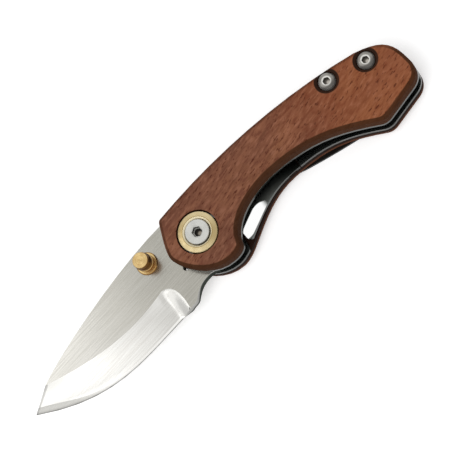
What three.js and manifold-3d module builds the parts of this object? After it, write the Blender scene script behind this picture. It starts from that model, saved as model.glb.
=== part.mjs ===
// Folding pocket knife with a liner lock, shown open and lying on its pocket clip.
// Millimetres. +X runs from the pivot to the butt, +Y to the spine, +Z to the thumb stud side.
// All plan dimensions are taken from the pivot axis; the last lines move the origin.

import * as THREE from 'three';
import { mergeVertices } from 'three/addons/utils/BufferGeometryUtils.js';
import Module from 'manifold-3d';

const wasm = await Module();
wasm.setup();

// Layers, from the blade outwards
const BLADE_THICKNESS = 3.0;
const WASHER_THICKNESS = 0.3;
const LINER_THICKNESS = 1.2;
const SCALE_THICKNESS = 4.2;

// Handle outline in plan
const HANDLE_REACH = 81.8;
const SPINE_FRONT_X = -7.4;
const SPINE_FRONT_Y = 11.7;
const SPINE_PULL_FRONT = 25.85;
const SPINE_PULL_FRONT_RISE = 3.8;
const SPINE_PULL_BACK = 25.05;
const SPINE_PULL_BACK_RISE = 5.8;
const SPINE_END_SETBACK = 10.8;
const SPINE_END_Y = 9.05;
const FRONT_CORNER_SOFTNESS = 1.0;
const NOSE_X = -11.85;
const NOSE_Y = -0.3;
const FRONT_PULL_TOP_X = 1.95;
const FRONT_PULL_TOP_Y = 4.2;
const FRONT_PULL_NOSE = 2.6;
const NOSE_PULL_DOWN = 3.24;
const NOSE_PULL_BOTTOM = 8.7;
const NOSE_BOTTOM_X = 2.9;
const NOSE_BOTTOM_Y = -13.62;
const BEAK_X = 64.3;
const BEAK_Y = -13.9;
const BEAK_SOFTNESS = 2.2;
const BEAK_FRONT_SLOPE = THREE.MathUtils.degToRad(34);
const BUTT_CORNER_SETBACK = 0.6;
const BUTT_CORNER_Y = -10.2;
const BUTT_CORNER_SOFTNESS = 4.4;
const BUTT_PULL = 8.2;
const BUTT_TOP_PULL = 10.0;
const BUTT_TOP_DROP = 3.25;

// Belly of the clip side, from the guard to the hollow
const GUARD_X = 9.5;
const GUARD_Y = -11.5;
const GUARD_SLOPE = THREE.MathUtils.degToRad(29);
const GUARD_PULL = 9.2;
const HOLLOW_X = 32.5;
const HOLLOW_Y = -3.17;
const HOLLOW_PULL_FRONT = 8.7;
const HOLLOW_PULL_BACK = 12.7;
const BEAK_PULL = 13.3;

// Belly of the thumb side, cut back further and sharply from a cusp
const CUSP_X = 7.75;
const CUSP_Y = -12.25;
const CUSP_SOFTNESS = 0.95;
const CUSP_FRONT_SLOPE = THREE.MathUtils.degToRad(31);
const RELIEF_SLOPE = THREE.MathUtils.degToRad(75);
const RELIEF_PULL = 7.55;
const RELIEF_HOLLOW_X = 28.5;
const RELIEF_HOLLOW_Y = -1.25;
const RELIEF_PULL_FRONT = 7.55;
const RELIEF_PULL_BACK = 13.8;
const RELIEF_BEAK_PULL = 13.8;

// Scales
const EDGE_ROUND = 1.2;
const EDGE_STEPS = 3;

// Blade outline
const BLADE_REACH = 76.9;
const TIP_Y = -6.2;
const SPINE_BREAK_SETBACK = 8.4;
const SPINE_BREAK_RISE = 4.8;
const BLADE_SPINE_PULL_BACK_X = 13.8;
const BLADE_SPINE_PULL_BACK_RISE = 1.6;
const BLADE_SPINE_PULL_TIP = 11.2;
const BLADE_SPINE_PULL_TIP_RISE = 5.4;
const HEEL_FRONT_X = -14.0;
const HEEL_FRONT_Y = -14.1;
const HEEL_LOW_X = -15.0;
const HEEL_LOW_Y = -14.65;
const HEEL_BACK_X = -16.2;
const EDGE_START_X = -17.3;
const EDGE_START_Y = -14.95;
const EDGE_PULL_HEEL = 22.6;
const EDGE_PULL_HEEL_DROP = 1.6;
const EDGE_PULL_TIP = 24.0;
const EDGE_PULL_TIP_DROP = 14.6;
const CHOIL_TOP_X = -5.75;
const CHOIL_TOP_Y = -10.72;
const CHOIL_PULL_TOP = 3.9;
const CHOIL_PULL_HEEL = 3.36;
const CHOIL_HEEL_SLOPE = THREE.MathUtils.degToRad(222);

// Ground bevels
const GRIND_START_X = -20.9;
const GRIND_START_Y = -4.2;
const GRIND_PULL_HEEL_X = -38.0;
const GRIND_PULL_HEEL_Y = -8.6;
const GRIND_PULL_TIP_X = -52.0;
const GRIND_PULL_TIP_Y = -6.6;
const GRIND_END_OVERRUN = 1.1;
const GRIND_END_Y = 1.4;
const PLUNGE_BOW_X = -15.8;
const PLUNGE_BOW_Y = -5.0;
const PLUNGE_LENGTH = 3.2;
const HOLLOW_GRIND_DEPTH = 0.22;
const BEVEL_SHOULDER = 0.35;
const EDGE_LAND = 0.1;
const BEVEL_WIDTH_HEEL = 0.6;
const BEVEL_WIDTH_TIP = 1.3;
const GRIND_OVERRUN = 1.0;
const PLUNGE_FADE = 10;

// Pivot and tang
const PIVOT_RADIUS = 3.0;
const PIVOT_BORE = 2.1;
const PIVOT_THREAD_RADIUS = 2.0;
const PIVOT_HEAD_RADIUS = 3.95;
const PIVOT_HEAD_THICKNESS = 2.1;
const PIVOT_HEAD_SEAT = 2.6;
const PIVOT_HEX = 3.0;
const PIVOT_HEX_DEPTH = 1.6;
const PIVOT_RUNNING_GAP = 0.06;
const TANG_RADIUS = 8.6;
const TANG_FOOT_RISE = 3.8;
const TANG_SHOULDER_RISE = 3.95;
const LOCK_FACE_X = 7.2;
const LOCK_FACE_SLOPE = THREE.MathUtils.degToRad(7);
const WASHER_RADIUS = 5.5;
const RING_RADIUS = 6.45;
const RING_BORE_GAP = 0.45;
const RING_CROWN = 0.25;
const RING_BEVEL = 0.5;
const RING_EDGE = 0.2;
const RING_HEAD_GAP = 0.3;

// Stop pin and the angles that the blade swings through
const CLOSE_ANGLE = THREE.MathUtils.degToRad(169);
const STOP_RADIUS = 1.5;
const STOP_TANG_GAP = 0.2;
const STOP_ANGLE = THREE.MathUtils.degToRad(96);
const STOP_GAP = 0.1;
const PIN_FIT = 0.05;

// Lock bar
const LOCK_GAP = 0.3;
const LOCK_SLOT = 0.6;
const LOCK_TOP_Y = 4.2;
const LOCK_ROOT_X = 36.0;
const LOCK_ROOT_TOP_Y = 5.2;
const LOCK_TIP_LOW_Y = -6.0;
const LOCK_END_X = 9.6;
const LOCK_END_Y = -7.4;
const LOCK_END_SLOT = 1.1;
const LOCK_CORNER_Y = -9.4;
const LOCK_CORNER_DROP = 1.3;
const LOCK_CORNER_ROUND = 1.7;
const LINER_CORNER_Y = -10.1;
const LINER_CORNER_DROP = 2.8;
const LINER_CORNER_ROUND = 1.3;
const LOCK_LIFT = 1.7;
const LOCK_ROOT_GROOVE = 0.5;
const LOCK_ROOT_GROOVE_WIDTH = 3.0;
const LOCK_ROOT_GROOVE_SETBACK = 1.5;
const SLOT_END_RADIUS = 1.2;
const DETENT_ORBIT = 11.15;
const DETENT_ANGLE = THREE.MathUtils.degToRad(200.2);
const DETENT_HOLE_RADIUS = 1.0;
const BALL_RADIUS = 0.8;
const BALL_STAND = 0.4;

// Thumb stud
const STUD_X = -19.2;
const STUD_Y = 5.7;
const STUD_HEIGHT = 6.2;
const STUD_FLANGE_RADIUS = 3.6;
const STUD_FLANGE_HEIGHT = 0.8;
const STUD_BODY_RADIUS = 2.8;
const STUD_GROOVE_RADIUS = 2.55;
const STUD_GROOVE_WIDTH = 0.9;
const STUD_GROOVES = [2.1];
const STUD_HEAD_RADIUS = 2.6;
const STUD_HEAD_HEIGHT = 2.0;
const STUD_EDGE = 0.3;
const STUD_SHANK_RADIUS = 1.5;
const STUD_FIT = 0.08;
const STUD_DIMPLE_RADIUS = 0.4;
const STUD_DIMPLE_DEPTH = 0.3;

// Body screws, their barrel nuts and the spacer between the liners
const BODY_SCREW_SETBACKS = [22.35, 9.55];
const BODY_SCREW_DEPTHS = [3.35, 4.55];
const BODY_HEAD_RADIUS = 2.85;
const BODY_HEAD_HEIGHT = 1.65;
const BODY_HEAD_CYLINDER = 0.35;
const BODY_HEAD_TOP_RADIUS = 1.75;
const SOCKET_BEVEL = 0.25;
const BODY_HEX = 2.1;
const BODY_HEX_DEPTH = 1.05;
const BODY_SCREW_RADIUS = 1.5;
const COUNTERBORE_RADIUS = 3.1;
const COUNTERBORE_MOUTH_RADIUS = 3.95;
const COUNTERBORE_BEVEL = 0.65;
const COUNTERBORE_DEPTH = 1.4;
const NUT_RADIUS = 2.25;
const NUT_BORE = 1.6;
const FIT_GAP = 0.1;
const SPACER_SETBACK = 30.0;
const SPACER_FRONT_DEPTH = 4.6;
const SPACER_SCREW_PULL_X = 23.0;
const SPACER_SCREW_PULL_Y = 1.6;
const SPACER_BUTT_PULL_Y = 3.5;
const SPACER_WALL = 3.2;
const SPACER_END_Y = -8.6;

// Pocket clip and its screws
const CLIP_THICKNESS = 1.0;
const CLIP_WIDTH = 10.4;
const CLIP_PAD_WIDTH = 8.4;
const CLIP_BULGE = 5.4;
const CLIP_TIP_WIDTH = 6.0;
const CLIP_LENGTH = 58.0;
const CLIP_END_SETBACK = 3.0;
const CLIP_END_Y = -6.2;
const CLIP_SLANT = THREE.MathUtils.degToRad(11.3);
const CLIP_PAD = 14.0;
const CLIP_RAMP = 5.0;
const CLIP_STANDOFF = 2.2;
const CLIP_RUN_END = 42.0;
const CLIP_TOUCH = 52.0;
const CLIP_TOUCH_GAP = 0.3;
const CLIP_FLARE = 1.3;
const CLIP_SCREW_PLACES = [4.4, 10.6];
const CLIP_SCREW_RADIUS = 1.2;
const CLIP_HEAD_RADIUS = 2.3;
const CLIP_HEAD_HEIGHT = 1.2;
const CLIP_HEX = 1.5;
const CLIP_HEX_DEPTH = 0.8;

// Fineness of curves
const CURVE_STEPS = 10;
const ROUND_STEPS = 34;
const SMALL_ROUND_STEPS = 20;
const BALL_STEPS = 16;
const BUTTON_STEPS = 4;
const CLIP_STEPS = 5;
const GRIND_STATIONS = 28;
const GRIND_CROWDING = 1.6;
const GRIND_COLUMNS = 6;
const SPINE_SEARCH_STEPS = 100;
const HEX_SIDES = 6;
const MITRE_LIMIT = 0.5;
const MERGE_DISTANCE = 1e-5;

// Reach of cutting tools beyond what they cut
const CUT_MARGIN = 1.0;
const FAR_OUT = 40.0;

// Sizes that follow from others
const BLADE_FACE = BLADE_THICKNESS / 2;
const LINER_IN = BLADE_FACE + WASHER_THICKNESS;
const LINER_OUT = LINER_IN + LINER_THICKNESS;
const SCALE_OUT = LINER_OUT + SCALE_THICKNESS;
const SCREW_SEAT = SCALE_OUT - COUNTERBORE_DEPTH;
const PIVOT_SEAT = LINER_OUT + PIVOT_HEAD_SEAT;
const STOP_ORBIT = TANG_RADIUS + STOP_RADIUS + STOP_TANG_GAP;

// Materials
function finish(color, roughness, metalness) {
  return new THREE.MeshStandardMaterial({ color, roughness, metalness });
}

const WOOD = () => finish(0x8a5138, 0.55, 0.0);
const SATIN_STEEL = () => finish(0xb9b7b0, 0.32, 0.95);
const LINER_STEEL = () => finish(0x8b8b88, 0.25, 0.95);
const SCREW_STEEL = () => finish(0xa9a6a1, 0.3, 0.95);
const PIVOT_STEEL = () => finish(0xc9cbc8, 0.4, 0.85);
const BRASS = () => finish(0xc9a45a, 0.3, 0.95);
const BRONZE = () => finish(0x9c6b3a, 0.4, 0.9);
const BLACK_CLIP = () => finish(0x14130f, 0.4, 0.7);

// Solids and geometries

function toSolid(geometry) {
  const bare = geometry.clone();
  bare.deleteAttribute('normal');
  bare.deleteAttribute('uv');
  const merged = mergeVertices(bare, MERGE_DISTANCE);
  const mesh = new wasm.Mesh({
    numProp: 3,
    vertProperties: new Float32Array(merged.attributes.position.array),
    triVerts: new Uint32Array(merged.index.array),
  });
  return new wasm.Manifold(mesh);
}

function toGeometry(solid) {
  const mesh = solid.getMesh();
  const geometry = new THREE.BufferGeometry();
  geometry.setAttribute('position', new THREE.BufferAttribute(mesh.vertProperties, mesh.numProp));
  geometry.setIndex(new THREE.BufferAttribute(mesh.triVerts, 1));
  geometry.computeVertexNormals();
  return geometry;
}

function cutAll(solid, cutters) {
  return cutters.reduce((rest, cutter) => rest.subtract(cutter), solid);
}

function plate(shape, low, high) {
  const geometry = new THREE.ExtrudeGeometry(shape, {
    depth: high - low,
    bevelEnabled: false,
    curveSegments: CURVE_STEPS,
  });
  geometry.translate(0, 0, low);
  return toSolid(geometry);
}

function rod(radius, low, high, x, y, steps = SMALL_ROUND_STEPS) {
  const geometry = new THREE.CylinderGeometry(radius, radius, high - low, steps);
  geometry.rotateX(Math.PI / 2);
  geometry.translate(x, y, (low + high) / 2);
  return toSolid(geometry);
}


function turned(profile, steps) {
  const points = profile.map(([radius, height]) => new THREE.Vector2(radius, height));
  const geometry = new THREE.LatheGeometry(points, steps);
  geometry.rotateX(Math.PI / 2);
  return geometry;
}

// Hexagon socket with a bevelled mouth, for a head whose flat top is at the given height
function hexSocket(acrossFlats, depth, top) {
  const cornerRadius = acrossFlats / (2 * Math.cos(Math.PI / HEX_SIDES));
  const mouth = [
    [0, top - SOCKET_BEVEL],
    [acrossFlats / 2, top - SOCKET_BEVEL],
    [cornerRadius + SOCKET_BEVEL, top],
    [cornerRadius + SOCKET_BEVEL, top + CUT_MARGIN],
    [0, top + CUT_MARGIN],
  ];
  const prism = rod(cornerRadius, top - depth, top + CUT_MARGIN, 0, 0, HEX_SIDES);
  return prism.add(toSolid(turned(mouth, SMALL_ROUND_STEPS)));
}

// Points of a path moved sideways by a distance, to the left of travel when it is positive
function offsetPoints(points, distance, closed) {
  const count = points.length;
  return points.map((point, i) => {
    const before = closed || i > 0 ? points[(i - 1 + count) % count] : point;
    const after = closed || i < count - 1 ? points[(i + 1) % count] : point;
    const arriving = point.clone().sub(before).normalize();
    const leaving = after.clone().sub(point).normalize();
    if (arriving.lengthSq() === 0) arriving.copy(leaving);
    if (leaving.lengthSq() === 0) leaving.copy(arriving);
    const along = arriving.clone().add(leaving).normalize();
    const side = new THREE.Vector2(-along.y, along.x);
    const squeeze = Math.max(along.dot(arriving), MITRE_LIMIT);
    return point.clone().addScaledVector(side, distance / squeeze);
  });
}

function outlinePoints(shape) {
  const points = shape.getPoints(CURVE_STEPS);
  const distinct = points.filter((point, i) => {
    return i === 0 || point.distanceTo(points[i - 1]) > MERGE_DISTANCE;
  });
  if (distinct[0].distanceTo(distinct[distinct.length - 1]) < MERGE_DISTANCE) distinct.pop();
  return distinct;
}

// Closed solid through a stack of outlines with equal numbers of points, lowest first
function stack(rings) {
  const count = rings[0].points.length;
  const vertices = rings.flatMap(({ points, z }) => points.flatMap((p) => [p.x, p.y, z]));
  const faces = [];
  for (let ring = 0; ring < rings.length - 1; ring++) {
    for (let i = 0; i < count; i++) {
      const a = ring * count + i;
      const b = ring * count + ((i + 1) % count);
      faces.push(a, b, b + count, a, b + count, a + count);
    }
  }
  const top = (rings.length - 1) * count;
  for (const [a, b, c] of THREE.ShapeUtils.triangulateShape(rings[0].points, [])) {
    faces.push(a, c, b);
  }
  for (const [a, b, c] of THREE.ShapeUtils.triangulateShape(rings[rings.length - 1].points, [])) {
    faces.push(top + a, top + b, top + c);
  }
  const geometry = new THREE.BufferGeometry();
  geometry.setAttribute('position', new THREE.Float32BufferAttribute(vertices, 3));
  geometry.setIndex(faces);
  return toSolid(geometry);
}

// Closed solid between two grids of points, the lower one first
function between(lower, upper) {
  const rows = lower.length;
  const columns = lower[0].length;
  const vertices = [...lower, ...upper].flatMap((row) => row.flatMap((p) => [p.x, p.y, p.z]));
  const at = (layer, i, j) => (layer * rows + i) * columns + j;
  const faces = [];
  const quad = (a, b, c, d) => faces.push(a, b, c, a, c, d);
  for (let i = 0; i < rows - 1; i++) {
    for (let j = 0; j < columns - 1; j++) {
      quad(at(1, i, j), at(1, i + 1, j), at(1, i + 1, j + 1), at(1, i, j + 1));
      quad(at(0, i, j), at(0, i, j + 1), at(0, i + 1, j + 1), at(0, i + 1, j));
    }
  }
  for (let i = 0; i < rows - 1; i++) {
    quad(at(0, i, 0), at(0, i + 1, 0), at(1, i + 1, 0), at(1, i, 0));
    const last = columns - 1;
    quad(at(0, i + 1, last), at(0, i, last), at(1, i, last), at(1, i + 1, last));
  }
  for (let j = 0; j < columns - 1; j++) {
    quad(at(0, 0, j + 1), at(0, 0, j), at(1, 0, j), at(1, 0, j + 1));
    const last = rows - 1;
    quad(at(0, last, j), at(0, last, j + 1), at(1, last, j + 1), at(1, last, j));
  }
  const geometry = new THREE.BufferGeometry();
  geometry.setAttribute('position', new THREE.Float32BufferAttribute(vertices, 3));
  geometry.setIndex(faces);
  return toSolid(geometry);
}

function polar(radius, angle) {
  return new THREE.Vector2(radius * Math.cos(angle), radius * Math.sin(angle));
}

// Handle outline

const spineEnd = new THREE.Vector2(HANDLE_REACH - SPINE_END_SETBACK, SPINE_END_Y);
const spineFront = new THREE.Vector2(SPINE_FRONT_X, SPINE_FRONT_Y);
const spineCurve = new THREE.CubicBezierCurve(
  spineEnd,
  new THREE.Vector2(spineEnd.x - SPINE_PULL_BACK, spineEnd.y + SPINE_PULL_BACK_RISE),
  new THREE.Vector2(spineFront.x + SPINE_PULL_FRONT, spineFront.y + SPINE_PULL_FRONT_RISE),
  spineFront,
);

// Height of the spine at a distance along the handle, from its nearest point
function spineHeight(x) {
  const points = spineCurve.getPoints(SPINE_SEARCH_STEPS);
  return points.reduce((best, p) => (Math.abs(p.x - x) < Math.abs(best.x - x) ? p : best)).y;
}

// Crossing of the level line through one point with the sloping line through another
function levelCrossing(level, point, slope) {
  return new THREE.Vector2(point.x - (point.y - level) / Math.tan(slope), level);
}

function drawCurve(shape, from, leaving, arriving, to) {
  const a = from.clone().add(leaving);
  const b = to.clone().sub(arriving);
  shape.bezierCurveTo(a.x, a.y, b.x, b.y, to.x, to.y);
}

function beakStart() {
  const back = polar(BEAK_SOFTNESS, -BEAK_FRONT_SLOPE);
  return new THREE.Vector2(BEAK_X, BEAK_Y).sub(back);
}

function drawClipSideBelly(shape) {
  const guard = new THREE.Vector2(GUARD_X, GUARD_Y);
  const hollow = new THREE.Vector2(HOLLOW_X, HOLLOW_Y);
  const under = levelCrossing(NOSE_BOTTOM_Y, guard, GUARD_SLOPE);
  shape.quadraticCurveTo(under.x, under.y, guard.x, guard.y);
  const level = (length) => new THREE.Vector2(length, 0);
  drawCurve(shape, guard, polar(GUARD_PULL, GUARD_SLOPE), level(HOLLOW_PULL_FRONT), hollow);
  const intoBeak = polar(BEAK_PULL, -BEAK_FRONT_SLOPE);
  drawCurve(shape, hollow, level(HOLLOW_PULL_BACK), intoBeak, beakStart());
}

function drawThumbSideBelly(shape) {
  const cusp = new THREE.Vector2(CUSP_X, CUSP_Y);
  const intoCusp = cusp.clone().sub(polar(CUSP_SOFTNESS, CUSP_FRONT_SLOPE));
  const start = cusp.clone().add(polar(CUSP_SOFTNESS, RELIEF_SLOPE));
  const hollow = new THREE.Vector2(RELIEF_HOLLOW_X, RELIEF_HOLLOW_Y);
  const under = levelCrossing(NOSE_BOTTOM_Y, cusp, CUSP_FRONT_SLOPE);
  shape.quadraticCurveTo(under.x, under.y, intoCusp.x, intoCusp.y);
  shape.quadraticCurveTo(cusp.x, cusp.y, start.x, start.y);
  const level = (length) => new THREE.Vector2(length, 0);
  drawCurve(shape, start, polar(RELIEF_PULL, RELIEF_SLOPE), level(RELIEF_PULL_FRONT), hollow);
  const intoBeak = polar(RELIEF_BEAK_PULL, -BEAK_FRONT_SLOPE);
  drawCurve(shape, hollow, level(RELIEF_PULL_BACK), intoBeak, beakStart());
}

function drawButt(shape) {
  const beak = new THREE.Vector2(BEAK_X, BEAK_Y);
  const corner = new THREE.Vector2(HANDLE_REACH - BUTT_CORNER_SETBACK, BUTT_CORNER_Y);
  const under = corner.clone().sub(beak).normalize();
  const outOfBeak = beak.clone().addScaledVector(under, BEAK_SOFTNESS);
  const intoCorner = corner.clone().addScaledVector(under, -BUTT_CORNER_SOFTNESS);
  const outOfCorner = new THREE.Vector2(HANDLE_REACH, corner.y + BUTT_CORNER_SOFTNESS);
  shape.quadraticCurveTo(beak.x, beak.y, outOfBeak.x, outOfBeak.y);
  shape.lineTo(intoCorner.x, intoCorner.y);
  shape.quadraticCurveTo(corner.x, corner.y, outOfCorner.x, outOfCorner.y);
  const intoSpine = new THREE.Vector2(-BUTT_TOP_PULL, BUTT_TOP_DROP);
  drawCurve(shape, outOfCorner, polar(BUTT_PULL, Math.PI / 2), intoSpine, spineEnd);
}

function handleShape(drawBelly) {
  const nose = new THREE.Vector2(NOSE_X, NOSE_Y);
  const noseBottom = new THREE.Vector2(NOSE_BOTTOM_X, NOSE_BOTTOM_Y);
  const frontPull = new THREE.Vector2(-FRONT_PULL_TOP_X, -FRONT_PULL_TOP_Y);
  const down = frontPull.clone().normalize();
  const start = spineFront.clone().addScaledVector(down, FRONT_CORNER_SOFTNESS);
  const cut = FRONT_CORNER_SOFTNESS / spineCurve.getLength();
  const intoFront = spineCurve.getPointAt(1 - cut);
  const straightDown = (length) => new THREE.Vector2(0, -length);
  const shape = new THREE.Shape();
  shape.moveTo(start.x, start.y);
  drawCurve(shape, start, frontPull, straightDown(FRONT_PULL_NOSE), nose);
  const bottomPull = new THREE.Vector2(NOSE_PULL_BOTTOM, 0);
  drawCurve(shape, nose, straightDown(NOSE_PULL_DOWN), bottomPull, noseBottom);
  drawBelly(shape);
  drawButt(shape);
  const points = spineCurve.getPoints(CURVE_STEPS).slice(1, -1);
  for (const point of points) shape.lineTo(point.x, point.y);
  shape.lineTo(intoFront.x, intoFront.y);
  shape.quadraticCurveTo(spineFront.x, spineFront.y, start.x, start.y);
  return shape;
}

const thumbSide = handleShape(drawThumbSideBelly);
const clipSide = handleShape(drawClipSideBelly);

// Places of the fasteners in plan

const bodyScrews = BODY_SCREW_SETBACKS.map((setback, i) => {
  const x = HANDLE_REACH - setback;
  return new THREE.Vector2(x, spineHeight(x) - BODY_SCREW_DEPTHS[i]);
});
const stopPin = polar(STOP_ORBIT, STOP_ANGLE);
const clipEnd = new THREE.Vector2(HANDLE_REACH - CLIP_END_SETBACK, CLIP_END_Y);
const clipDirection = new THREE.Vector2(-Math.cos(CLIP_SLANT), Math.sin(CLIP_SLANT));
const clipScrews = CLIP_SCREW_PLACES.map((u) => clipEnd.clone().addScaledVector(clipDirection, u));

// Scales

function counterbore(side, place) {
  const profile = [
    [0, SCREW_SEAT],
    [COUNTERBORE_RADIUS, SCREW_SEAT],
    [COUNTERBORE_RADIUS, SCALE_OUT - COUNTERBORE_BEVEL],
    [COUNTERBORE_MOUTH_RADIUS, SCALE_OUT],
    [COUNTERBORE_MOUTH_RADIUS, SCALE_OUT + CUT_MARGIN],
    [0, SCALE_OUT + CUT_MARGIN],
  ];
  const geometry = turned(profile, ROUND_STEPS);
  if (side < 0) geometry.rotateX(Math.PI);
  geometry.translate(place.x, place.y, 0);
  return toSolid(geometry);
}

function scaleSolid(side) {
  const shape = side > 0 ? thumbSide : clipSide;
  const outline = outlinePoints(shape);
  const rings = [{ points: outline, z: side * LINER_OUT }];
  for (let step = 0; step <= EDGE_STEPS; step++) {
    const turn = (step / EDGE_STEPS) * (Math.PI / 2);
    const inset = EDGE_ROUND * (1 - Math.cos(turn));
    const z = side * (SCALE_OUT - EDGE_ROUND * (1 - Math.sin(turn)));
    rings.push({ points: offsetPoints(outline, inset, true), z });
  }
  const body = stack(side > 0 ? rings : rings.reverse());
  const span = (from, to) => (side > 0 ? [from, to] : [-to, -from]);
  const [low, high] = span(LINER_OUT - CUT_MARGIN, SCALE_OUT + CUT_MARGIN);
  const shankRadius = side > 0 ? BODY_SCREW_RADIUS : NUT_RADIUS;
  const cutters = [rod(RING_RADIUS + RING_BORE_GAP, low, high, 0, 0, ROUND_STEPS)];
  for (const place of bodyScrews) {
    cutters.push(counterbore(side, place));
    cutters.push(rod(shankRadius + FIT_GAP, low, high, place.x, place.y));
  }
  if (side < 0) {
    for (const place of clipScrews) {
      cutters.push(rod(CLIP_SCREW_RADIUS + FIT_GAP, low, high, place.x, place.y));
    }
  }
  return cutAll(body, cutters);
}

// Liners and lock bar

function linerHoles(low, high) {
  const holes = [
    rod(PIVOT_RADIUS + PIVOT_RUNNING_GAP, low, high, 0, 0, ROUND_STEPS),
    rod(STOP_RADIUS + PIN_FIT, low, high, stopPin.x, stopPin.y),
  ];
  for (const place of bodyScrews) {
    holes.push(rod(NUT_RADIUS + FIT_GAP, low, high, place.x, place.y));
  }
  return holes;
}

function frontLinerSolid() {
  const body = plate(thumbSide, LINER_IN, LINER_OUT);
  return cutAll(body, linerHoles(LINER_IN - CUT_MARGIN, LINER_OUT + CUT_MARGIN));
}

const lockTipX = LOCK_FACE_X + LOCK_GAP;

function lockBarRegion() {
  const corner = new THREE.Vector2(LOCK_CORNER_ROUND, -LOCK_CORNER_DROP);
  corner.add(new THREE.Vector2(LOCK_END_X, LOCK_CORNER_Y));
  const region = new THREE.Shape();
  region.moveTo(lockTipX, LOCK_TOP_Y);
  region.lineTo(lockTipX, LOCK_TIP_LOW_Y);
  region.lineTo(LOCK_END_X, LOCK_END_Y);
  region.lineTo(LOCK_END_X, LOCK_CORNER_Y);
  region.quadraticCurveTo(LOCK_END_X, corner.y, corner.x, corner.y);
  region.lineTo(corner.x, -FAR_OUT);
  region.lineTo(LOCK_ROOT_X, -FAR_OUT);
  region.lineTo(LOCK_ROOT_X, LOCK_ROOT_TOP_Y);
  region.closePath();
  return region;
}

function lockCutRegion() {
  const endX = LOCK_END_X - LOCK_END_SLOT;
  const corner = new THREE.Vector2(endX - LINER_CORNER_ROUND, LINER_CORNER_Y - LINER_CORNER_DROP);
  const region = new THREE.Shape();
  region.moveTo(lockTipX - LOCK_SLOT, LOCK_TOP_Y + LOCK_SLOT);
  region.lineTo(lockTipX - LOCK_SLOT, LOCK_TIP_LOW_Y);
  region.lineTo(endX, LOCK_END_Y - LOCK_SLOT);
  region.lineTo(endX, LINER_CORNER_Y);
  region.quadraticCurveTo(endX, corner.y / 2 + LINER_CORNER_Y / 2, corner.x, corner.y);
  region.lineTo(corner.x, -FAR_OUT);
  region.lineTo(LOCK_ROOT_X + LOCK_GAP, -FAR_OUT);
  region.lineTo(LOCK_ROOT_X + LOCK_GAP, LOCK_ROOT_TOP_Y + LOCK_SLOT);
  region.closePath();
  return region;
}

function slotEnd(low, high) {
  return rod(SLOT_END_RADIUS, low, high, LOCK_ROOT_X, LOCK_ROOT_TOP_Y + LOCK_SLOT / 2);
}

function backLinerSolid() {
  const low = -LINER_OUT - CUT_MARGIN;
  const high = -LINER_IN + CUT_MARGIN;
  const cutters = linerHoles(low, high);
  cutters.push(plate(lockCutRegion(), low, high));
  cutters.push(slotEnd(low, high));
  for (const place of clipScrews) {
    cutters.push(rod(CLIP_SCREW_RADIUS + FIT_GAP, low, high, place.x, place.y));
  }
  return cutAll(plate(clipSide, -LINER_OUT, -LINER_IN), cutters);
}

// The bar is drawn flush with its liner; its mesh is then sprung inwards about the root
function lockBarSolid() {
  const low = -LINER_OUT - CUT_MARGIN;
  const high = -LINER_IN + CUT_MARGIN;
  const blank = plate(clipSide, -LINER_OUT, -LINER_IN).intersect(plate(lockBarRegion(), low, high));
  const grooveEnd = LOCK_ROOT_X - LOCK_ROOT_GROOVE_SETBACK;
  const groove = new THREE.BoxGeometry(LOCK_ROOT_GROOVE_WIDTH, FAR_OUT, LOCK_ROOT_GROOVE * 2);
  groove.translate(grooveEnd - LOCK_ROOT_GROOVE_WIDTH / 2, 0, -LINER_OUT);
  const ball = new THREE.SphereGeometry(BALL_RADIUS, BALL_STEPS, BALL_STEPS / 2);
  const seat = polar(DETENT_ORBIT, DETENT_ANGLE + CLOSE_ANGLE);
  ball.translate(seat.x, seat.y, -LINER_IN + BALL_STAND - BALL_RADIUS);
  return cutAll(blank, [toSolid(groove), slotEnd(low, high)]).add(toSolid(ball));
}

// Blade

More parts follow.
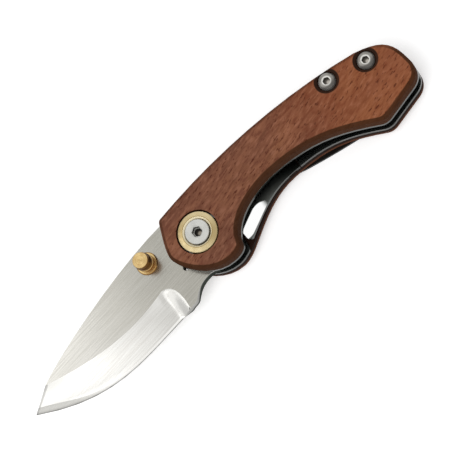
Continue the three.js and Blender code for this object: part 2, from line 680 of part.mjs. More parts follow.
function bladeShape() {
  const half = Math.asin((STOP_RADIUS + STOP_GAP) / STOP_ORBIT);
  const openStop = STOP_ANGLE + half;
  const closedStop = STOP_ANGLE - half - CLOSE_ANGLE;
  const tip = new THREE.Vector2(-BLADE_REACH, TIP_Y);
  const spineBreak = new THREE.Vector2(tip.x + SPINE_BREAK_SETBACK, tip.y + SPINE_BREAK_RISE);
  const shoulder = polar(TANG_RADIUS + TANG_SHOULDER_RISE, openStop);
  const foot = polar(TANG_RADIUS + TANG_FOOT_RISE, closedStop);
  const footIn = polar(TANG_RADIUS, closedStop);
  const lockAngle = Math.acos(LOCK_FACE_X / TANG_RADIUS);
  const shape = new THREE.Shape();
  shape.moveTo(tip.x, tip.y);
  shape.bezierCurveTo(
    tip.x + EDGE_PULL_TIP,
    tip.y - EDGE_PULL_TIP_DROP,
    EDGE_START_X - EDGE_PULL_HEEL,
    EDGE_START_Y - EDGE_PULL_HEEL_DROP,
    EDGE_START_X,
    EDGE_START_Y,
  );
  const heel = new THREE.Vector2(HEEL_FRONT_X, HEEL_FRONT_Y);
  const choilTop = new THREE.Vector2(CHOIL_TOP_X, CHOIL_TOP_Y);
  shape.lineTo(HEEL_BACK_X, HEEL_LOW_Y);
  shape.quadraticCurveTo(HEEL_LOW_X, HEEL_LOW_Y, heel.x, heel.y);
  const outOfHeel = polar(CHOIL_PULL_HEEL, CHOIL_HEEL_SLOPE + Math.PI);
  drawCurve(shape, heel, outOfHeel, new THREE.Vector2(CHOIL_PULL_TOP, 0), choilTop);
  shape.lineTo(foot.x, foot.y);
  shape.lineTo(footIn.x, footIn.y);
  shape.absarc(0, 0, TANG_RADIUS, closedStop, -lockAngle, false);
  shape.absarc(0, 0, TANG_RADIUS, lockAngle, openStop, false);
  shape.lineTo(shoulder.x, shoulder.y);
  shape.bezierCurveTo(
    shoulder.x - BLADE_SPINE_PULL_BACK_X,
    shoulder.y + BLADE_SPINE_PULL_BACK_RISE,
    spineBreak.x + BLADE_SPINE_PULL_TIP,
    spineBreak.y + BLADE_SPINE_PULL_TIP_RISE,
    spineBreak.x,
    spineBreak.y,
  );
  shape.closePath();
  return shape;
}

// Height of the ground surface over a grid that runs along the bevel and down to the edge
function groundSurface() {
  const grindLine = new THREE.CubicBezierCurve(
    new THREE.Vector2(GRIND_START_X, GRIND_START_Y),
    new THREE.Vector2(GRIND_PULL_HEEL_X, GRIND_PULL_HEEL_Y),
    new THREE.Vector2(GRIND_PULL_TIP_X, GRIND_PULL_TIP_Y),
    new THREE.Vector2(-BLADE_REACH - GRIND_END_OVERRUN, GRIND_END_Y),
  );
  const edge = new THREE.CubicBezierCurve(
    new THREE.Vector2(EDGE_START_X, EDGE_START_Y),
    new THREE.Vector2(EDGE_START_X - EDGE_PULL_HEEL, EDGE_START_Y - EDGE_PULL_HEEL_DROP),
    new THREE.Vector2(-BLADE_REACH + EDGE_PULL_TIP, TIP_Y - EDGE_PULL_TIP_DROP),
    new THREE.Vector2(-BLADE_REACH, TIP_Y),
  );
  const first = grindLine.getPoint(0);
  const last = edge.getPoint(0);
  const bow = new THREE.Vector2(PLUNGE_BOW_X, PLUNGE_BOW_Y);
  const plunge = new THREE.QuadraticBezierCurve(first, bow, last);
  const rows = [];
  for (let i = -1; i <= GRIND_STATIONS + 1; i++) {
    const u = Math.sign(i) * (Math.abs(i) / GRIND_STATIONS) ** GRIND_CROWDING;
    const top = grindLine.getPoint(u);
    const bottom = edge.getPoint(u);
    const depth = top.distanceTo(bottom);
    const bevel = THREE.MathUtils.lerp(BEVEL_WIDTH_HEEL, BEVEL_WIDTH_TIP, u) / depth;
    const along = top.distanceTo(first);
    const entry = (i < 0 ? -along : along) / PLUNGE_LENGTH;
    const stops = [-GRIND_OVERRUN / depth];
    for (let j = 0; j <= GRIND_COLUMNS; j++) stops.push((j / GRIND_COLUMNS) * (1 - bevel));
    stops.push(1, 1 + GRIND_OVERRUN / depth);
    rows.push(
      stops.map((v) => {
        const place = top.clone().lerp(bottom, v);
        const straight = first.clone().lerp(last, v);
        const bend = plunge.getPoint(THREE.MathUtils.clamp(v, 0, 1)).sub(straight);
        place.addScaledVector(bend, Math.max(0, 1 - u) ** PLUNGE_FADE);
        return new THREE.Vector3(place.x, place.y, groundHeight(v, bevel, entry));
      }),
    );
  }
  return rows;
}

function groundHeight(v, bevel, entry) {
  const fall = THREE.MathUtils.clamp(v / (1 - bevel), -1, 1);
  const flat = THREE.MathUtils.lerp(BLADE_FACE, BEVEL_SHOULDER, fall);
  const dish = 4 * HOLLOW_GRIND_DEPTH * Math.max(0, fall) * (1 - fall);
  const edgeFall = THREE.MathUtils.clamp((v - 1 + bevel) / bevel, 0, 1);
  const full = flat - dish - (BEVEL_SHOULDER - EDGE_LAND / 2) * edgeFall;
  if (entry < 0) return BLADE_FACE - Math.abs(BLADE_FACE - full) * entry;
  const blend = Math.min(entry, 1);
  return BLADE_FACE - (BLADE_FACE - full) * THREE.MathUtils.smoothstep(blend, 0, 1);
}

function bevelCutter(side) {
  const ground = groundSurface().map((row) => {
    return row.map((p) => new THREE.Vector3(p.x, p.y, side * p.z));
  });
  const away = side * (BLADE_FACE + CUT_MARGIN);
  const sky = ground.map((row) => row.map((p) => new THREE.Vector3(p.x, p.y, away)));
  return side > 0 ? between(ground, sky) : between(sky, ground);
}

function lockFaceCutter() {
  const reach = TANG_RADIUS * 2;
  const geometry = new THREE.BoxGeometry(reach, reach, reach);
  geometry.translate(reach / 2, 0, 0);
  geometry.rotateY(LOCK_FACE_SLOPE);
  geometry.translate(LOCK_FACE_X + BLADE_FACE * Math.tan(LOCK_FACE_SLOPE), 0, 0);
  return toSolid(geometry);
}

function bladeSolid() {
  const low = -BLADE_FACE - CUT_MARGIN;
  const high = BLADE_FACE + CUT_MARGIN;
  const detent = polar(DETENT_ORBIT, DETENT_ANGLE);
  return cutAll(plate(bladeShape(), -BLADE_FACE, BLADE_FACE), [
    bevelCutter(1),
    bevelCutter(-1),
    rod(PIVOT_RADIUS + PIVOT_RUNNING_GAP, low, high, 0, 0, ROUND_STEPS),
    rod(STUD_SHANK_RADIUS + STUD_FIT, low, high, STUD_X, STUD_Y),
    rod(DETENT_HOLE_RADIUS, low, high, detent.x, detent.y),
  ]);
}

function studGeometry() {
  const headBottom = STUD_HEIGHT - STUD_HEAD_HEIGHT;
  const flangeTop = STUD_FLANGE_HEIGHT;
  const slope = STUD_BODY_RADIUS - STUD_GROOVE_RADIUS;
  const grooves = STUD_GROOVES.flatMap((start) => [
    [STUD_BODY_RADIUS, start],
    [STUD_GROOVE_RADIUS, start + slope / 2],
    [STUD_GROOVE_RADIUS, start + STUD_GROOVE_WIDTH - slope / 2],
    [STUD_BODY_RADIUS, start + STUD_GROOVE_WIDTH],
  ]);
  return turned(
    [
      [0, -BLADE_THICKNESS],
      [STUD_SHANK_RADIUS, -BLADE_THICKNESS],
      [STUD_SHANK_RADIUS, 0],
      [STUD_FLANGE_RADIUS, 0],
      [STUD_FLANGE_RADIUS, flangeTop - STUD_EDGE],
      [STUD_FLANGE_RADIUS - STUD_EDGE, flangeTop],
      [STUD_BODY_RADIUS, flangeTop],
      ...grooves,
      [STUD_BODY_RADIUS, headBottom],
      [STUD_HEAD_RADIUS, headBottom + STUD_EDGE],
      [STUD_HEAD_RADIUS, STUD_HEIGHT - STUD_EDGE],
      [STUD_HEAD_RADIUS - STUD_EDGE / 3, STUD_HEIGHT - STUD_EDGE / 3],
      [STUD_HEAD_RADIUS - STUD_EDGE, STUD_HEIGHT],
      [STUD_DIMPLE_RADIUS, STUD_HEIGHT],
      [0, STUD_HEIGHT - STUD_DIMPLE_DEPTH],
    ],
    ROUND_STEPS,
  );
}

// Pivot

function ringGeometry() {
  const bore = PIVOT_RADIUS + PIVOT_RUNNING_GAP;
  const mouth = PIVOT_HEAD_RADIUS + RING_HEAD_GAP;
  const height = SCALE_THICKNESS;
  return turned(
    [
      [bore, 0],
      [RING_RADIUS, 0],
      [RING_RADIUS, height - RING_EDGE],
      [RING_RADIUS - RING_EDGE, height],
      [mouth + RING_BEVEL, height + RING_CROWN],
      [mouth, height + RING_CROWN - RING_BEVEL],
      [mouth, PIVOT_HEAD_SEAT],
      [bore, PIVOT_HEAD_SEAT],
      [bore, 0],
    ],
    ROUND_STEPS,
  );
}

// Flat head with a softened rim; height 0 is its seat
function pivotHeadProfile(shankRadius, shankLength) {
  return [
    [0, -shankLength],
    [shankRadius, -shankLength],
    [shankRadius, 0],
    [PIVOT_HEAD_RADIUS, 0],
    [PIVOT_HEAD_RADIUS, PIVOT_HEAD_THICKNESS - RING_EDGE],
    [PIVOT_HEAD_RADIUS - RING_EDGE, PIVOT_HEAD_THICKNESS],
    [0, PIVOT_HEAD_THICKNESS],
  ];
}

function pivotHex() {
  return hexSocket(PIVOT_HEX, PIVOT_HEX_DEPTH, PIVOT_HEAD_THICKNESS);
}

function pivotScrewSolid() {
  const length = PIVOT_SEAT + LINER_OUT;
  const body = toSolid(turned(pivotHeadProfile(PIVOT_THREAD_RADIUS, length), ROUND_STEPS));
  return body.subtract(pivotHex());
}

function pivotBarrelSolid() {
  const length = PIVOT_SEAT * 2 - LOCK_GAP;
  const body = toSolid(turned(pivotHeadProfile(PIVOT_RADIUS, length), ROUND_STEPS));
  const bore = rod(PIVOT_BORE, -length - CUT_MARGIN, 0, 0, 0, ROUND_STEPS);
  return cutAll(body, [bore, pivotHex()]);
}

function washerGeometry() {
  const bore = PIVOT_RADIUS + PIVOT_RUNNING_GAP;
  return turned(
    [
      [bore, 0],
      [WASHER_RADIUS, 0],
      [WASHER_RADIUS, WASHER_THICKNESS],
      [bore, WASHER_THICKNESS],
      [bore, 0],
    ],
    SMALL_ROUND_STEPS,
  );
}

// Button head screws

function buttonProfile(headRadius, headHeight, topRadius, shankRadius, shankLength) {
  const profile = [
    [0, -shankLength],
    [shankRadius, -shankLength],
    [shankRadius, 0],
    [headRadius, 0],
  ];
  const rim = headHeight * (BODY_HEAD_CYLINDER / BODY_HEAD_HEIGHT);
  for (let step = 0; step <= BUTTON_STEPS; step++) {
    const turn = (step / BUTTON_STEPS) * (Math.PI / 2);
    const radius = topRadius + (headRadius - topRadius) * Math.cos(turn);
    profile.push([radius, rim + (headHeight - rim) * Math.sin(turn)]);
  }
  profile.push([0, headHeight]);
  return profile;
}

function buttonHead(shankRadius, shankLength) {
  const profile = buttonProfile(
    BODY_HEAD_RADIUS,
    BODY_HEAD_HEIGHT,
    BODY_HEAD_TOP_RADIUS,
    shankRadius,
    shankLength,
  );
  const socket = hexSocket(BODY_HEX, BODY_HEX_DEPTH, BODY_HEAD_HEIGHT);
  return toSolid(turned(profile, SMALL_ROUND_STEPS)).subtract(socket);
}

function bodyScrewSolid() {
  return buttonHead(BODY_SCREW_RADIUS, SCREW_SEAT + LINER_IN);
}

function bodyNutSolid() {
  const length = SCREW_SEAT + LINER_OUT - FIT_GAP;
  const bore = rod(NUT_BORE, -length - CUT_MARGIN, -FIT_GAP, 0, 0);
  return buttonHead(NUT_RADIUS, length).subtract(bore);
}

function clipScrewSolid() {
  const length = CLIP_THICKNESS + SCALE_THICKNESS + LINER_THICKNESS;
  const topRadius = CLIP_HEAD_RADIUS * (BODY_HEAD_TOP_RADIUS / BODY_HEAD_RADIUS);
  const profile = buttonProfile(
    CLIP_HEAD_RADIUS,
    CLIP_HEAD_HEIGHT,
    topRadius,
    CLIP_SCREW_RADIUS,
    length,
  );
  const socket = hexSocket(CLIP_HEX, CLIP_HEX_DEPTH, CLIP_HEAD_HEIGHT);
  return toSolid(turned(profile, SMALL_ROUND_STEPS)).subtract(socket);
}

// Spacer that follows the spine and wraps round the butt

function spacerSolid() {
  const frontX = HANDLE_REACH - SPACER_SETBACK;
  const innerX = HANDLE_REACH - SPACER_WALL;
  const region = new THREE.Shape();
  region.moveTo(frontX, FAR_OUT);
  region.lineTo(frontX, spineHeight(frontX) - SPACER_FRONT_DEPTH);
  region.bezierCurveTo(
    HANDLE_REACH - SPACER_SCREW_PULL_X,
    SPACER_SCREW_PULL_Y,
    innerX,
    SPACER_BUTT_PULL_Y,
    innerX,
    SPACER_END_Y,
  );
  region.lineTo(HANDLE_REACH + FAR_OUT, SPACER_END_Y);
  region.lineTo(HANDLE_REACH + FAR_OUT, FAR_OUT);
  region.closePath();
  const low = -LINER_IN - CUT_MARGIN;
  const high = LINER_IN + CUT_MARGIN;
  const body = plate(clipSide, -LINER_IN, LINER_IN).intersect(plate(region, low, high));
  const holes = bodyScrews.map((place) => rod(NUT_RADIUS + FIT_GAP, low, high, place.x, place.y));
  return cutAll(body, holes);
}

// Pocket clip, drawn along +X from its fixed end with its pad on the plane z = 0

function clipSolid() {
  const path = new THREE.Path();
  const rampEnd = CLIP_PAD + CLIP_RAMP;
  const rampMiddle = CLIP_PAD + CLIP_RAMP / 2;
  const dipMiddle = (CLIP_RUN_END + CLIP_TOUCH) / 2;
  const flareMiddle = (CLIP_TOUCH + CLIP_LENGTH) / 2;
  path.moveTo(0, 0);
  path.lineTo(CLIP_PAD, 0);
  path.bezierCurveTo(rampMiddle, 0, rampMiddle, CLIP_STANDOFF, rampEnd, CLIP_STANDOFF);
  path.lineTo(CLIP_RUN_END, CLIP_STANDOFF);
  path.bezierCurveTo(dipMiddle, CLIP_STANDOFF, dipMiddle, CLIP_TOUCH_GAP, CLIP_TOUCH, CLIP_TOUCH_GAP);
  path.quadraticCurveTo(flareMiddle, CLIP_TOUCH_GAP, CLIP_LENGTH, CLIP_FLARE);
  const inner = path.getPoints(CLIP_STEPS);
  const outer = offsetPoints(inner, CLIP_THICKNESS, false);
  const side = new THREE.Shape([...inner, ...outer.reverse()]);
  const strip = new THREE.ExtrudeGeometry(side, { depth: CLIP_WIDTH, bevelEnabled: false });
  strip.rotateX(Math.PI / 2);
  strip.translate(0, CLIP_WIDTH / 2, 0);

  const root = CLIP_PAD_WIDTH / 2;
  const tip = CLIP_TIP_WIDTH / 2;
  const tipX = CLIP_LENGTH - tip;
  const plan = new THREE.Shape();
  plan.absarc(root, 0, root, Math.PI / 2, (3 * Math.PI) / 2, false);
  plan.bezierCurveTo(rampEnd, -CLIP_BULGE, CLIP_RUN_END, -CLIP_BULGE, tipX, -tip);
  plan.absarc(tipX, 0, tip, -Math.PI / 2, Math.PI / 2, false);
  plan.bezierCurveTo(CLIP_RUN_END, CLIP_BULGE, rampEnd, CLIP_BULGE, root, root);
  const reach = CLIP_STANDOFF + CLIP_THICKNESS + CUT_MARGIN;
  const holes = CLIP_SCREW_PLACES.map((u) => rod(CLIP_SCREW_RADIUS + FIT_GAP, -reach, reach, u, 0));
  return cutAll(toSolid(strip).intersect(plate(plan, -reach, reach)), holes);
}

// Assembly

const knife = new THREE.Group();

function add(name, shape, material, place = {}) {
  const geometry = shape.isBufferGeometry ? shape : toGeometry(shape);
  const mesh = new THREE.Mesh(geometry, material);
  mesh.name = name;
  mesh.position.set(place.x ?? 0, place.y ?? 0, place.z ?? 0);
  if (place.underside) mesh.rotation.x = Math.PI;
  knife.add(mesh);
  return mesh;
}

add('front_scale', scaleSolid(1), WOOD());
add('back_scale', scaleSolid(-1), WOOD());
add('front_liner', frontLinerSolid(), LINER_STEEL());
add('back_liner', backLinerSolid(), LINER_STEEL());

add('blade', bladeSolid(), SATIN_STEEL());
add('thumb_stud', studGeometry(), BRASS(), { x: STUD_X, y: STUD_Y, z: BLADE_FACE });

const lockBar = lockBarSolid();
const lockGeometry = toGeometry(lockBar);
const lockAxisZ = -(LINER_IN + LINER_OUT) / 2;
lockGeometry.translate(-LOCK_ROOT_X, 0, -lockAxisZ);
const lockMesh = add('lock_bar', lockGeometry, LINER_STEEL(), { x: LOCK_ROOT_X, z: lockAxisZ });
lockMesh.rotation.y = Math.asin(LOCK_LIFT / (LOCK_ROOT_X - lockTipX));

add('front_pivot_ring', ringGeometry(), BRASS(), { z: LINER_OUT });
add('back_pivot_ring', ringGeometry(), BRASS(), { z: -LINER_OUT, underside: true });
add('front_washer', washerGeometry(), BRONZE(), { z: BLADE_FACE });
add('back_washer', washerGeometry(), BRONZE(), { z: -BLADE_FACE - WASHER_THICKNESS });
add('pivot_screw', pivotScrewSolid(), PIVOT_STEEL(), { z: PIVOT_SEAT });
add('pivot_barrel', pivotBarrelSolid(), PIVOT_STEEL(), { z: -PIVOT_SEAT, underside: true });
add('stop_pin', rod(STOP_RADIUS, -LINER_OUT, LINER_OUT, stopPin.x, stopPin.y), SCREW_STEEL());
add('backspacer', spacerSolid(), LINER_STEEL());

bodyScrews.forEach((place, i) => {
  const [x, y] = [place.x, place.y];
  add(`body_screw_${i + 1}`, bodyScrewSolid(), SCREW_STEEL(), { x, y, z: SCREW_SEAT });
  add(`body_nut_${i + 1}`, bodyNutSolid(), SCREW_STEEL(), { x, y, z: -SCREW_SEAT, underside: true });
});

const clip = add('pocket_clip', clipSolid(), BLACK_CLIP(), {
  x: clipEnd.x,
  y: clipEnd.y,
  z: -SCALE_OUT,
  underside: true,
});
clip.rotateZ(Math.PI + CLIP_SLANT);

clipScrews.forEach((place, i) => {
  const [x, y] = [place.x, place.y];
  const z = -SCALE_OUT - CLIP_THICKNESS;
  add(`clip_screw_${i + 1}`, clipScrewSolid(), SCREW_STEEL(), { x, y, z, underside: true });
});

// The origin is the middle of the underside of the whole knife
knife.updateMatrixWorld(true);
const box = new THREE.Box3().setFromObject(knife, true);
const middle = box.getCenter(new THREE.Vector3());
knife.position.set(-middle.x, -middle.y, -box.min.z);
const object = new THREE.Group();
object.add(knife);
object.updateMatrixWorld(true);

export default object;
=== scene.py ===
import math

import bpy
from mathutils import Matrix, Vector

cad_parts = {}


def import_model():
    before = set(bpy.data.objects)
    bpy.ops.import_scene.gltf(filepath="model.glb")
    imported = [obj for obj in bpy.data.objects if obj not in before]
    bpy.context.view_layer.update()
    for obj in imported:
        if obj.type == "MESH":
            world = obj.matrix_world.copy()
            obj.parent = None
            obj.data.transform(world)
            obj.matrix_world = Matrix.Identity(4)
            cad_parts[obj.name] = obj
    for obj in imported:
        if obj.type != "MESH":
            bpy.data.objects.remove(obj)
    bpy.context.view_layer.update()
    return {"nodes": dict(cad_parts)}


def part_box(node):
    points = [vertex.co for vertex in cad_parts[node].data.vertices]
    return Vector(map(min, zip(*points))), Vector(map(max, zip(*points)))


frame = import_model()
nodes = frame["nodes"]

MM = 0.001

# Wood: the grain's turn in the plan in degrees, the run along the handle over which its colour
# changes, and the radii of a screw seat's bore and of its mouth, out to which shade is painted
GRAIN_TURN = -14
HANDLE_RUN = (5.0 * MM, 70.0 * MM)
SEAT_BORE = 3.1 * MM
SEAT_MOUTH = 3.9 * MM
BODY_SCREWS = ("body_screw_1", "body_screw_2")

# Blade: where each tone changes along it, from the handle's side towards the tip. The flats' and
# grind's brightening and dulling and the honed edge's dulling are painted reflection
FLAT_BRIGHTENS = (-14.0 * MM, -60.0 * MM)
GRIND_BRIGHTENS = (-20.0 * MM, -44.0 * MM)
GRIND_DULLS = (-52.0 * MM, -72.0 * MM)
HONED_DULLS = (-48.0 * MM, -68.0 * MM)
HONED_WIDENS = (-58.0 * MM, -78.0 * MM)
WALL_BRIGHTENS = (-12.0 * MM, -17.5 * MM)

# Blade: the run of its satin lines and its middle height. From there, the honed edge's rise at
# the two ends of HONED_WIDENS and the rise over which the dark line of painted shade at the edge
# fades in. Then the height above which the walls get a painted highlight, at the two ends of
# WALL_BRIGHTENS
SATIN_RUN = (1.0, 0.09)
BLADE_MIDDLE = 10.4 * MM
HONED_RISE = (0.36 * MM, 0.45 * MM)
EDGE_LINE = (0.16 * MM, 0.1 * MM)
WALL_HIGHLIGHT_HEIGHTS = (11.2 * MM, 9.4 * MM)

# Blade: a point on the spine near the tip and the direction from there into the blade, where the
# spine gets a thin line of painted shade
TIP_SPINE = (-70.4 * MM, -0.36 * MM)
TIP_ACROSS = (0.474, -0.88)

# Range of the size of the normal's z: from the blade's flats to its grind, from its faces to its
# walls, and on a scale's or liner's inner face, which is painted dark as shade, there with the
# shares at its two ends
FLAT_TO_GRIND = (0.9998, 0.9992)
FACE_TO_WALL = (0.75, 0.4)
INNER_FACE = (0.3, 0.8, 0.0, 0.9)

# Sheet steel and lock bar: the run, the fineness and the relief of their lines
SHEET_RUN = (1.0, 0.0)
SHEET_LINES = 2600.0
SHEET_RELIEF = (0.03, 0.01 * MM)

# Lock bar: where its painted reflection brightens towards the pivot, where its patch of painted
# white reflection ends, how far the patch fades before that and past it, the slope of its bump,
# and its sides, each with a point on the side, the direction into the patch and the width of its
# fade
BAR_BRIGHTENS = (34.0 * MM, 20.0 * MM)
GLINT_END = 19.7 * MM
GLINT_FADE = 2.4 * MM
GLINT_PAST = 1.0 * MM
GLINT_SLOPE = 0.3
GLINT_SIDES = (
    ((8.0 * MM, -9.24 * MM), (-0.43, 0.903), 1.2 * MM),
    ((15.62 * MM, -1.4 * MM), (-0.39, -0.92), 2.0 * MM),
    ((7.52 * MM, -5.39 * MM), (0.43, -0.903), 1.6 * MM),
    ((8.55 * MM, -8.95 * MM), (0.191, 0.982), 1.0 * MM),
)

# Turned pieces: the plan direction whose rays stay clear of painted shade, the radius of a ring's
# inner lip with the range of its normal's z, for its painted highlight, a socket's radius, the
# width of the painted highlight round it, and how far the lit spot on its floor lies from the
# axis
FAN_AXIS = (0.684, 0.73)
RING_LIP = 4.86 * MM
LIP_SLOPE = (0.92, 0.78)
SOCKET = 1.25 * MM
SOCKET_RIM = 0.5 * MM
SOCKET_LIGHT = (0.25 * MM, -0.55 * MM, 0.0)

# Modifiers: the welding distance, the least z of a level face's normal, the crease angle in
# degrees with its socket's key, and the widths that edges are rounded by
WELD = 0.001 * MM
LEVEL = 0.99999
CREASE = 34.0
CREASE_SOCKET = "Socket_1"
FINE_EDGE = 0.05 * MM
EDGE_WIDTHS = {"front_liner": 0.08 * MM, "back_liner": 0.0, "lock_bar": 0.0}

# Studio: the floor's width, its own glow, and the world's strength as seen and as a light
WHITE = (1, 1, 1, 1)
FLOOR_WIDTH = 6.0
FLOOR_GLOW = 0.35
WORLD_SEEN = 1.0
WORLD_LIGHT = 0.6

# Camera: its place, its right, up and back directions, and its lens in pixels of the photograph
CAMERA_PLACE = (51.75 * MM, -163.86 * MM, 421.1 * MM)
CAMERA_AXES = (
    (0.735325, -0.597958, -0.318973),
    (0.669386, 0.714377, 0.203931),
    (0.105925, -0.363472, 0.925564),
)
FOCAL_PIXELS = 1447.0
PICTURE_PIXELS = 460.0
SENSOR_WIDTH = 36.0
NEAR_CLIP = 0.01


# Node helpers for materials


def srgb(hex_code):
    """Linear colour of a six-digit screen colour."""
    parts = [int(hex_code[i : i + 2], 16) / 255 for i in (0, 2, 4)]
    return [c / 12.92 if c <= 0.04045 else ((c + 0.055) / 1.055) ** 2.4 for c in parts] + [1.0]


class Graph:
    """A material's node tree with short calls for the nodes used here."""

    def __init__(self, name):
        self.material = bpy.data.materials.new(name)
        self.material.use_nodes = True
        self.tree = self.material.node_tree
        self.tree.nodes.clear()
        self.shader = self.add("ShaderNodeBsdfPrincipled")
        self.output = self.add("ShaderNodeOutputMaterial")
        self.link(self.shader.outputs["BSDF"], self.output.inputs["Surface"])
        self.place = self.add("ShaderNodeTexCoord").outputs["Object"]

    def add(self, kind, **settings):
        node = self.tree.nodes.new(kind)
        for key, value in settings.items():
            setattr(node, key, value)
        return node

    def link(self, a, b):
        self.tree.links.new(a, b)

    def put(self, socket, value):
        if isinstance(value, bpy.types.NodeSocket):
            self.link(value, socket)
        else:
            socket.default_value = value

    def moved(self, vector, scale=(1, 1, 1), turn=(0, 0, 0), shift=(0, 0, 0)):
        node = self.add("ShaderNodeMapping")
        self.put(node.inputs["Vector"], vector)
        node.inputs["Location"].default_value = shift
        node.inputs["Rotation"].default_value = [math.radians(a) for a in turn]
        node.inputs["Scale"].default_value = scale
        return node.outputs["Vector"]

    def noise(self, vector, scale, detail=3.0, roughness=0.5, distortion=0.0):
        node = self.add("ShaderNodeTexNoise")
        self.put(node.inputs["Vector"], vector)
        node.inputs["Scale"].default_value = scale
        node.inputs["Detail"].default_value = detail
        node.inputs["Roughness"].default_value = roughness
        node.inputs["Distortion"].default_value = distortion
        return node.outputs["Fac"]

    def math(self, operation, a, b=0.0, clamp=False):
        node = self.add("ShaderNodeMath", operation=operation, use_clamp=clamp)
        self.put(node.inputs[0], a)
        self.put(node.inputs[1], b)
        return node.outputs[0]

    def absolute(self, value):
        return self.math("ABSOLUTE", value)

    def times(self, a, b):
        return self.math("MULTIPLY", a, b)

    def minus(self, a, b):
        return self.math("SUBTRACT", a, b)

    def range(self, value, low, high, to_low=0.0, to_high=1.0):
        """Smooth step of a value from one pair of numbers to another."""
        node = self.add("ShaderNodeMapRange", interpolation_type="SMOOTHSTEP")
        self.put(node.inputs["Value"], value)
        for key, number in zip(
            ("From Min", "From Max", "To Min", "To Max"), (low, high, to_low, to_high)
        ):
            self.put(node.inputs[key], number)
        return node.outputs["Result"]

    def mix(self, factor, a, b):
        node = self.add("ShaderNodeMix", data_type="RGBA")
        self.put(node.inputs["Factor"], factor)
        self.put(node.inputs["A"], a)
        self.put(node.inputs["B"], b)
        return node.outputs["Result"]

    def coat(self, tone, code, share):
        """A tone covered by a screen colour to a share from 0 to 1."""
        return self.mix(share, tone, srgb(code))

    def two_tone(self, value, start, end, first, second):
        """A screen colour that goes from the first at one value to the second at another."""
        return self.mix(self.range(value, start, end), srgb(first), srgb(second))

    def split(self, vector):
        node = self.add("ShaderNodeSeparateXYZ")
        self.put(node.inputs[0], vector)
        return node.outputs

    def join(self, x, y, z):
        node = self.add("ShaderNodeCombineXYZ")
        for socket, value in zip(node.inputs, (x, y, z)):
            self.put(socket, value)
        return node.outputs[0]

    def normal(self):
        return self.add("ShaderNodeNewGeometry").outputs["Normal"]

    def local_normal(self):
        return self.add("ShaderNodeTexCoord").outputs["Normal"]

    def distance_to(self, center):
        """Distance in the plan from an upright axis through a point."""
        x, y, _ = self.split(self.moved(self.place, shift=(-center[0], -center[1], 0)))
        squares = self.math("ADD", self.times(x, x), self.times(y, y))
        return self.math("SQRT", squares)

    def distance_along(self, start, direction):
        """Signed distance in the plan from a point along a direction."""
        node = self.add("ShaderNodeVectorMath", operation="DOT_PRODUCT")
        self.put(node.inputs[0], self.moved(self.place, shift=(-start[0], -start[1], 0.0)))
        node.inputs[1].default_value = (direction[0], direction[1], 0.0)
        return node.outputs["Value"]

    def bump(self, height, strength, distance, normal=None):
        node = self.add("ShaderNodeBump")
        self.put(node.inputs["Height"], height)
        self.put(node.inputs["Strength"], strength)
        node.inputs["Distance"].default_value = distance
        if normal:
            self.put(node.inputs["Normal"], normal)
        return node.outputs["Normal"]

    def set(self, **values):
        for key, value in values.items():
            self.put(self.shader.inputs[key.replace("_", " ")], value)


def scratched(g, along, fine, stretch=0.03):
    """Fine straight scratches along one direction of the plan."""
    angle = math.degrees(math.atan2(along[1], along[0]))
    place = g.moved(g.moved(g.place, turn=(0, 0, -angle)), scale=(stretch, 1.0, 1.0))
    return g.noise(place, fine, roughness=0.65)


def middle(node):
    low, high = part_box(node)
    return (Vector(low) + Vector(high)) / 2


